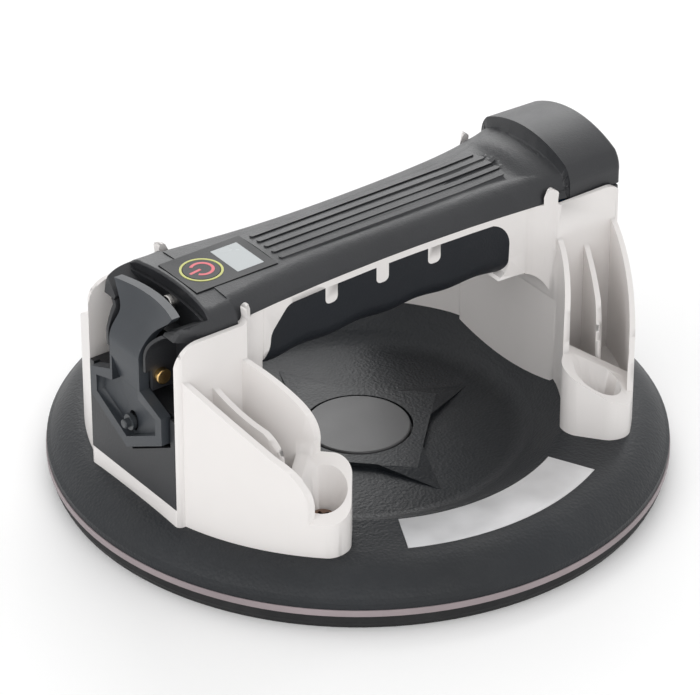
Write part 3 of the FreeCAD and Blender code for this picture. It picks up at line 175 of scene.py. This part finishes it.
looks = {
    "pad_plastic": dict(colour=(0.010, 0.012, 0.015), roughness=0.44, grain=950, bump=1.0,
        break_up=0.35, dust=0.05, variation=0.2, specular=0.4),
    "cap_plastic": dict(colour=(0.075, 0.075, 0.077), roughness=0.42, grain=2400, bump=0.10,
        break_up=0.7, dust=0.04),
    "seal_rubber": dict(colour=(0.010, 0.010, 0.011), roughness=0.55, grain=1600, bump=0.2,
        break_up=0.7, specular=0.35),
    "gasket": dict(colour=(0.30, 0.25, 0.26), roughness=0.45, grain=1800, bump=0.08, break_up=0.7,
        dust=0.05),
    "label": dict(colour=(0.70, 0.70, 0.71), roughness=0.34, grain=3000, bump=0.04, break_up=0.9,
        metallic=0.55, dust=0.05, rough_spread=0.04),
    "frame_plastic": dict(colour=(0.80, 0.772, 0.755), roughness=0.34, grain=1800, bump=0.06,
        break_up=0.8, variation=0.015, dust=0.03, dust_colour=(0.6, 0.57, 0.52)),
    "shell_plastic": dict(colour=(0.020, 0.021, 0.024), roughness=0.38, grain=1700, bump=0.45,
        break_up=0.6, dust=0.04),
    "grip_rubber": dict(colour=(0.007, 0.009, 0.013), roughness=0.60, grain=1300, bump=0.35,
        break_up=0.5, specular=0.35, dust=0.03),
    "panel_plastic": dict(colour=(0.020, 0.021, 0.023), roughness=0.46, grain=2200, bump=0.25,
        break_up=0.7, dust=0.04, specular=0.4),
    "lever_plastic": dict(colour=(0.034, 0.039, 0.046), roughness=0.40, grain=1900, bump=0.20,
        break_up=0.6, dust=0.04),
    "ring_plastic": dict(colour=(0.52, 0.53, 0.10), roughness=0.35, grain=3000, bump=0.03, break_up=0.9,
        dust=0.0),
    "icon_print": dict(colour=(0.72, 0.10, 0.13), roughness=0.40, grain=3000, bump=0.03, break_up=0.9,
        dust=0.0),
    "display": dict(colour=(0.42, 0.45, 0.46), roughness=0.22, grain=4000, bump=0.0, break_up=0.9,
        dust=0.03, variation=0.02, specular=0.4),
    "screw_steel": dict(colour=(0.55, 0.53, 0.51), roughness=0.30, grain=3000, bump=0.05, break_up=0.9,
        metallic=1.0, dust=0.1),
    "foot_screw": dict(colour=(0.20, 0.13, 0.10), roughness=0.34, grain=3000, bump=0.08, break_up=0.9,
        metallic=1.0, dust=0.2, dust_colour=(0.2, 0.12, 0.08)),
    "brass": dict(colour=(0.72, 0.48, 0.20), roughness=0.22, grain=3000, bump=0.05, break_up=0.9,
        metallic=1.0, dust=0.1),
    "stem_plastic": dict(colour=(0.04, 0.045, 0.05), roughness=0.34, grain=2600, bump=0.06,
        break_up=0.8, dust=0.05),
    "inner_plastic": dict(colour=(0.12, 0.12, 0.13), roughness=0.5, grain=2000, bump=0.1, break_up=0.6),
    "tube_rubber": dict(colour=(0.55, 0.54, 0.5), roughness=0.45, grain=2000, bump=0.05, break_up=0.6),
    "board": dict(colour=(0.02, 0.10, 0.045), roughness=0.4, grain=3000, bump=0.1, break_up=0.7),
    "cell": dict(colour=(0.06, 0.18, 0.38), roughness=0.35, grain=3000, bump=0.03, break_up=0.9),
    "foam": dict(colour=(0.03, 0.03, 0.03), roughness=0.8, grain=900, bump=0.6, break_up=0.4),
}
finish = {name: moulded(name, **look) for name, look in looks.items()}

dress_with = {
    "rubber_seal": "seal_rubber", "gasket_ring": "gasket", "base_plate": "pad_plastic",
    "label_plate": "label", "centre_cap": "cap_plastic", "grip_pad": "grip_rubber", "frame": "frame_plastic",
    "frame_screws": "foot_screw", "handle_shell": "shell_plastic", "shell_screws": "screw_steel",
    "cavity_screw": "screw_steel", "control_panel": "panel_plastic", "display_window": "display",
    "button_light_ring": "ring_plastic", "power_button": "panel_plastic", "control_board": "board",
    "tact_switch": "inner_plastic", "display_module": "board", "pressure_sensor": "screw_steel",
    "release_lever": "lever_plastic", "lever_spring": "screw_steel", "hinge_pin": "brass",
    "end_cover": "shell_plastic", "valve_body": "inner_plastic", "valve_stem": "stem_plastic",
    "valve_seal": "seal_rubber", "valve_tube": "tube_rubber", "pump_tube": "tube_rubber",
    "tube_fitting": "inner_plastic", "suction_filter": "foam", "pump_motor": "screw_steel",
    "pump_rotor": "screw_steel", "pump_head": "inner_plastic", "pump_diaphragm": "seal_rubber",
    "pump_lid": "inner_plastic", "battery_cells": "cell", "lower_contact": "screw_steel",
    "upper_contact": "screw_steel", "battery_foam": "foam", "battery_cover": "shell_plastic",
    "charge_socket": "screw_steel",
}
for name, finish_name in dress_with.items():
    node = nodes[name]
    node.data.materials.clear()
    node.data.materials.append(finish[finish_name])


# ----------------------------------------------------------------------- mouldings
# Places and sizes from here to the studio are in millimetres.
merge_near = 0.02        # vertices of the solids' facets nearer than this are one
seam = 0.012             # the same, after the edges are rounded
smooth_below = 35        # degrees between faces that shade as one surface

opening_top = 58.5       # flat top edge of the finger opening
opening_wall = 22        # middle of the walls beside the opening, across the handle
corner_low = 46.6        # the opening's bent corners start here
leg_step_top = 58.45     # top of the step between a leg's inner face and its inner fin

well_x, well_y = 54.39, 55.35
funnel_floor, funnel_height = 22.0, 22.0
funnel_bottom, funnel_top = 4.32, 9.6

cap_start = 66.5         # the battery cap's front wall
ramp_foot = 65.9         # where the slope before the cap ends
sill = 82.5              # the slope lies above this level
ramp_cuts = (54.0, 56.0, 58.0, 60.0, 62.0, 63.5, 64.7, ramp_foot)


def only(obj):
    """Selects obj alone and makes it active."""
    bpy.ops.object.select_all(action="DESELECT")
    obj.select_set(True)
    bpy.context.view_layer.objects.active = obj


def merged_copy(node_name, new_name):
    """A merged copy of a CAD node, free of its links."""
    source = nodes[node_name]
    obj = source.copy()
    obj.data = source.data.copy()
    obj.name = new_name
    for key in list(obj.keys()):
        del obj[key]
    obj.parent = None
    bpy.context.scene.collection.objects.link(obj)
    only(obj)
    bpy.ops.object.mode_set(mode="EDIT")
    bpy.ops.mesh.select_all(action="SELECT")
    bpy.ops.mesh.remove_doubles(threshold=merge_near * MM)
    return obj


def stand_for(obj, node_name):
    """Shows obj in the place of a CAD node and moves it with the node's body."""
    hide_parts(node_name)
    for body, members in frame["record"]["behaviour"]["bodies"].items():
        if node_name in members:
            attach(obj, body)


def pick_edges(obj, wanted, sharpness=25):
    """Selects the sharp edges for which wanted(middle, direction), in millimetres, is true."""
    bpy.ops.mesh.select_all(action="DESELECT")
    bpy.ops.mesh.edges_select_sharp(sharpness=math.radians(sharpness))
    bpy.ops.object.mode_set(mode="OBJECT")
    count = 0
    for edge in obj.data.edges:
        first, last = (obj.data.vertices[i].co / MM for i in edge.vertices)
        edge.select = edge.select and wanted((first + last) / 2, (last - first).normalized())
        count += edge.select
    bpy.ops.object.mode_set(mode="EDIT")
    return count


def pick_vertices(obj, wanted):
    """Selects the visible vertices for which wanted(place), in millimetres, is true."""
    bpy.ops.mesh.select_all(action="DESELECT")
    bpy.ops.object.mode_set(mode="OBJECT")
    for vertex in obj.data.vertices:
        vertex.select = not vertex.hide and wanted(vertex.co / MM)
    bpy.ops.object.mode_set(mode="EDIT")


def cut_through(axis, place):
    """Adds edges where the plane square to axis (0 is X, 2 is Z) at place meets the mesh."""
    normal = [0, 0, 0]
    normal[axis] = 1
    bpy.ops.mesh.select_all(action="SELECT")
    bpy.ops.mesh.bisect(plane_co=[place * MM * n for n in normal], plane_no=normal)


def moulding(node_name, new_name, radius, segments=2, flat=1.2, sharp=28.0, soft=(), prepare=None,
             crease_x=None):
    """A merged copy of a CAD node with its edges rounded, which stands for the node.

    flat and sharp are in degrees: faces that differ less than flat are joined, and edges
    that bend more than sharp are rounded. soft is a list of (wanted, radius) for edges
    with a larger radius, and prepare changes the mesh before any edge is rounded.
    """
    obj = merged_copy(node_name, new_name)
    bpy.ops.mesh.dissolve_limited(angle_limit=math.radians(flat))
    if prepare:
        prepare(obj)
    bpy.ops.mesh.select_mode(type="EDGE")
    for wanted, soft_radius in soft:
        if pick_edges(obj, wanted):
            bpy.ops.mesh.bevel(offset=soft_radius * MM, segments=5, affect="EDGES", clamp_overlap=True)
    bpy.ops.mesh.select_mode(type="VERT")
    bpy.ops.object.mode_set(mode="OBJECT")
    edge = obj.modifiers.new("edge", "BEVEL")
    edge.width = radius * MM
    edge.segments = segments
    edge.limit_method = "ANGLE"
    edge.angle_limit = math.radians(sharp)
    edge.use_clamp_overlap = True
    edge.miter_outer = "MITER_ARC"
    bpy.ops.object.modifier_apply(modifier="edge")
    bpy.ops.object.mode_set(mode="EDIT")
    bpy.ops.mesh.select_all(action="SELECT")
    bpy.ops.mesh.remove_doubles(threshold=seam * MM)
    bpy.ops.mesh.dissolve_degenerate(threshold=seam * MM)
    bpy.ops.mesh.delete_loose()
    bpy.ops.object.mode_set(mode="OBJECT")
    bpy.ops.object.shade_smooth_by_angle(angle=math.radians(smooth_below))
    if crease_x:
        bpy.ops.object.mode_set(mode="EDIT")
        bpy.ops.mesh.select_mode(type="EDGE")
        if pick_edges(obj, lambda middle, along: abs(middle.x - crease_x) < 0.1, 6):
            bpy.ops.mesh.mark_sharp()
        bpy.ops.object.mode_set(mode="OBJECT")
    even = obj.modifiers.new("even", "WEIGHTED_NORMAL")
    even.keep_sharp = True
    even.weight = 100
    bpy.ops.object.modifier_apply(modifier="even")
    stand_for(obj, node_name)
    return obj


def opening_edge(middle, along):
    """Edges of the finger opening beside the grip pad."""
    across = abs(abs(middle.y) - opening_wall) < 3.2
    level = abs(middle.z - opening_top) < 0.05 and abs(along.y) < 0.3
    bent = (corner_low < middle.z < leg_step_top and 47.4 < abs(middle.x) < 59.45
            and abs(along.z) > 0.05)
    return across and (level or bent)


def leg_step(place):
    """Vertices of the narrow step between a leg's inner face and the inner fin."""
    return 59.3 < abs(place.x) < 60.5 and 23.6 < abs(place.y) < 25.0 and 16.0 < place.z < leg_step_top


def flush_leg_corners(obj):
    """Closes the narrow step between a leg's inner face and the inner fin."""
    for level in (66.0, 58.4, 46.5):
        cut_through(2, level)
    pick_vertices(obj, leg_step)
    bpy.ops.mesh.remove_doubles(threshold=1.3 * MM)
    bpy.ops.mesh.select_all(action="SELECT")


def widen_wells(obj):
    """Opens the four screw wells upwards like funnels."""
    for x in (-well_x, well_x):
        for y in (-well_y, well_y):
            bpy.ops.object.select_all(action="DESELECT")
            bpy.ops.mesh.primitive_cone_add(
                vertices=40, radius1=funnel_bottom * MM, radius2=funnel_top * MM,
                depth=funnel_height * MM,
                location=(x * MM, y * MM, (funnel_floor + funnel_height / 2) * MM))
            funnel = bpy.context.object
            only(obj)
            cut = obj.modifiers.new("funnel", "BOOLEAN")
            cut.operation = "DIFFERENCE"
            cut.solver = "EXACT"
            cut.object = funnel
            bpy.ops.object.modifier_apply(modifier="funnel")
            bpy.data.objects.remove(funnel)


def funnel_rim(place):
    """Vertices where a funnel meets the screw well below it."""
    from_centre = math.hypot(abs(place.x) - well_x, abs(place.y) - well_y)
    return 23.3 < place.z < 24.7 and from_centre < 6.0


def prepare_frame(obj):
    """The frame's leg corners and screw wells, with the narrow faces under the funnels merged."""
    flush_leg_corners(obj)
    bpy.ops.object.mode_set(mode="OBJECT")
    widen_wells(obj)
    bpy.ops.object.mode_set(mode="EDIT")
    pick_vertices(obj, funnel_rim)
    bpy.ops.mesh.remove_doubles(threshold=0.5 * MM)
    bpy.ops.mesh.select_all(action="SELECT")


def press_in_ramp(obj):
    """Presses in the slope before the battery cap, so that the cap stands out as a block."""
    for place in ramp_cuts:
        cut_through(0, place)
    bpy.ops.mesh.select_mode(type="VERT")
    pick_vertices(obj, lambda place: ramp_foot + 0.03 < place.x < cap_start and place.z > sill)
    bpy.ops.transform.resize(value=(0, 1, 1), center_override=(cap_start * MM, 0, 0))
    pick_vertices(obj, lambda place: place.x > ramp_foot + 0.03 or place.z < sill)
    bpy.ops.mesh.hide(unselected=False)
    pick_vertices(obj, lambda place: abs(place.x - ramp_foot) < 0.02)
    bpy.ops.transform.resize(value=(1, 0.95, 0.74), center_override=(ramp_foot * MM, 0, 81 * MM),
                             use_proportional_edit=True, proportional_edit_falloff="SMOOTH",
                             proportional_size=11 * MM)
    bpy.ops.mesh.reveal(select=False)
    bpy.ops.mesh.select_all(action="SELECT")


moulding("frame", "frame_moulding", 0.6, prepare=prepare_frame, soft=((opening_edge, 2.4),))
moulding("handle_shell", "handle_shell_moulding", 0.35, segments=3, prepare=press_in_ramp,
         crease_x=cap_start)
for name, radius in (("release_lever", 0.55), ("end_cover", 0.3),
                     ("battery_cover", 0.4), ("control_panel", 0.15), ("grip_pad", 0.5)):
    moulding(name, name + "_moulding", radius)


def icon_bar(length, width, thickness, place):
    """A flat bar along X in edit mode, its bottom face at place."""
    bpy.ops.mesh.primitive_cube_add(size=1, location=(0, 0, 0))
    obj = bpy.context.object
    obj.data.materials.append(finish["icon_print"])
    bpy.ops.object.mode_set(mode="EDIT")
    bpy.ops.mesh.select_all(action="SELECT")
    bpy.ops.transform.resize(value=(length * MM, width * MM, thickness * MM), center_override=(0, 0, 0))
    bpy.ops.transform.translate(value=place)
    return obj


def make_power_icon():
    """Printed standby sign on the button: a broken circle and a bar in the gap."""
    print_height = 0.04
    centre = Vector((-59.2, 0.3, 88.9 + print_height / 2)) * MM
    radius, stroke = 3.45, 1.0
    gap, heading = math.radians(84), math.radians(177)
    bar_length, bar_offset, bar_tilt = 4.3, -2.75, math.radians(8)
    bpy.ops.object.select_all(action="DESELECT")
    arc = icon_bar(0.02, stroke, print_height, (0, radius * MM, 0))
    bpy.ops.mesh.select_all(action="DESELECT")
    bpy.ops.mesh.select_mode(type="FACE")
    bpy.ops.object.mode_set(mode="OBJECT")
    for face in arc.data.polygons:
        face.select = face.normal.x < -0.9
    bpy.ops.object.mode_set(mode="EDIT")
    bpy.ops.mesh.spin(steps=44, angle=2 * math.pi - gap, center=(0, 0, 0), axis=(0, 0, 1))
    bpy.ops.mesh.select_all(action="SELECT")
    bpy.ops.mesh.normals_make_consistent(inside=False)
    bpy.ops.transform.rotate(value=math.pi / 2 + gap / 2 - heading, orient_axis="Z",
                             center_override=(0, 0, 0))
    bpy.ops.transform.translate(value=centre)
    bpy.ops.object.mode_set(mode="OBJECT")
    arc.name = "power_icon_arc"
    bpy.ops.object.select_all(action="DESELECT")
    bar = icon_bar(bar_length, stroke, print_height, (bar_offset * MM, 0, 0))
    bpy.ops.transform.rotate(value=-bar_tilt, orient_axis="Z", center_override=(0, 0, 0))
    bpy.ops.transform.translate(value=centre)
    bpy.ops.object.mode_set(mode="OBJECT")
    bar.name = "power_icon_bar"
    for obj in (arc, bar):
        only(obj)
        round_ends = obj.modifiers.new("ends", "BEVEL")
        round_ends.width = 0.4 * MM
        round_ends.segments = 3
        round_ends.limit_method = "ANGLE"
        round_ends.angle_limit = math.radians(60)
        round_ends.affect = "EDGES"
        bpy.ops.object.modifier_apply(modifier="ends")
        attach(obj, "button")


make_power_icon()


# -------------------------------------------------------------------------- studio
def make_studio():
    """A white paper floor, and a white world that looks brighter than it lights."""
    bpy.ops.mesh.primitive_plane_add(size=6, location=(0, 0, -0.0002))
    floor = bpy.context.object
    floor.name = "studio_floor"
    material = bpy.data.materials.new("studio_floor")
    material.use_nodes = True
    tree = material.node_tree
    shader = tree.nodes["Principled BSDF"]
    shader.inputs["Base Color"].default_value = (0.93, 0.93, 0.93, 1)
    shader.inputs["Roughness"].default_value = 0.6
    paper = add(tree, "ShaderNodeTexNoise", {"Vector": add(tree, "ShaderNodeTexCoord").outputs["Object"],
                                             "Scale": 300.0})
    relief = add(tree, "ShaderNodeBump", {"Height": paper.outputs["Fac"], "Strength": 0.02,
                                          "Distance": 0.001})
    tree.links.new(relief.outputs["Normal"], shader.inputs["Normal"])
    path = add(tree, "ShaderNodeLightPath")
    seen = math_node(tree, "MULTIPLY", path.outputs["Is Camera Ray"], 0.07)
    tree.links.new(seen, shader.inputs["Emission Strength"])
    floor.data.materials.append(material)

    world = bpy.data.worlds.new("studio")
    bpy.context.scene.world = world
    world.use_nodes = True
    tree = world.node_tree
    ambient = tree.nodes["Background"]
    ambient.inputs["Color"].default_value = (1, 1, 1, 1)
    ambient.inputs["Strength"].default_value = 0.82
    white = add(tree, "ShaderNodeBackground", {"Color": (1, 1, 1, 1), "Strength": 1.0})
    path = add(tree, "ShaderNodeLightPath")
    shown = math_node(tree, "MAXIMUM", path.outputs["Is Camera Ray"], path.outputs["Is Glossy Ray"])
    shown = math_node(tree, "MAXIMUM", shown, path.outputs["Is Transmission Ray"])
    both = add(tree, "ShaderNodeMixShader", {0: shown, 1: ambient.outputs[0], 2: white.outputs[0]})
    tree.links.new(both.outputs[0], tree.nodes["World Output"].inputs["Surface"])


def lamp(name, place, energy, size):
    """A square area lamp at place, in metres, turned to the middle of the part."""
    data = bpy.data.lights.new(name, "AREA")
    data.energy = energy
    data.size = size
    obj = bpy.data.objects.new(name, data)
    bpy.context.scene.collection.objects.link(obj)
    obj.location = place
    obj.rotation_mode = "QUATERNION"
    obj.rotation_quaternion = (Vector((0, 0, 0.05)) - Vector(place)).to_track_quat("-Z", "Y")


make_studio()
lamp("key_lamp", (-1.1, -0.1, 0.42), 1.8, 0.6)
lamp("back_lamp", (0.75, 1.0, 0.8), 6.5, 1.0)
lamp("side_lamp", (-0.5, -1.05, 0.3), 1.3, 0.6)
lamp("fill_lamp", (-0.8, -1.0, 0.85), 1.4, 0.8)

# Where the camera looks from: angles, metres to the middle of the view and shift across it.
azimuth, elevation, distance = math.radians(-36.47), math.radians(31.705), 1.38807
shift_right, shift_up = -0.002602, 0.033221
back = Vector((math.sin(azimuth) * math.cos(elevation), -math.cos(azimuth) * math.cos(elevation),
               math.sin(elevation)))
right = Vector((math.cos(azimuth), math.sin(azimuth), 0))
up = back.cross(right)
camera = bpy.data.objects.new("camera", bpy.data.cameras.new("camera"))
bpy.context.scene.collection.objects.link(camera)
camera.data.lens = 221.14
camera.data.sensor_width = 36
camera.location = right * shift_right + up * shift_up + back * distance
camera.rotation_mode = "QUATERNION"
camera.rotation_quaternion = (-back).to_track_quat("-Z", "Y")
camera.data.clip_start = 0.05
camera.data.clip_end = 20
bpy.context.scene.camera = camera
bpy.context.scene.view_settings.view_transform = "Standard"
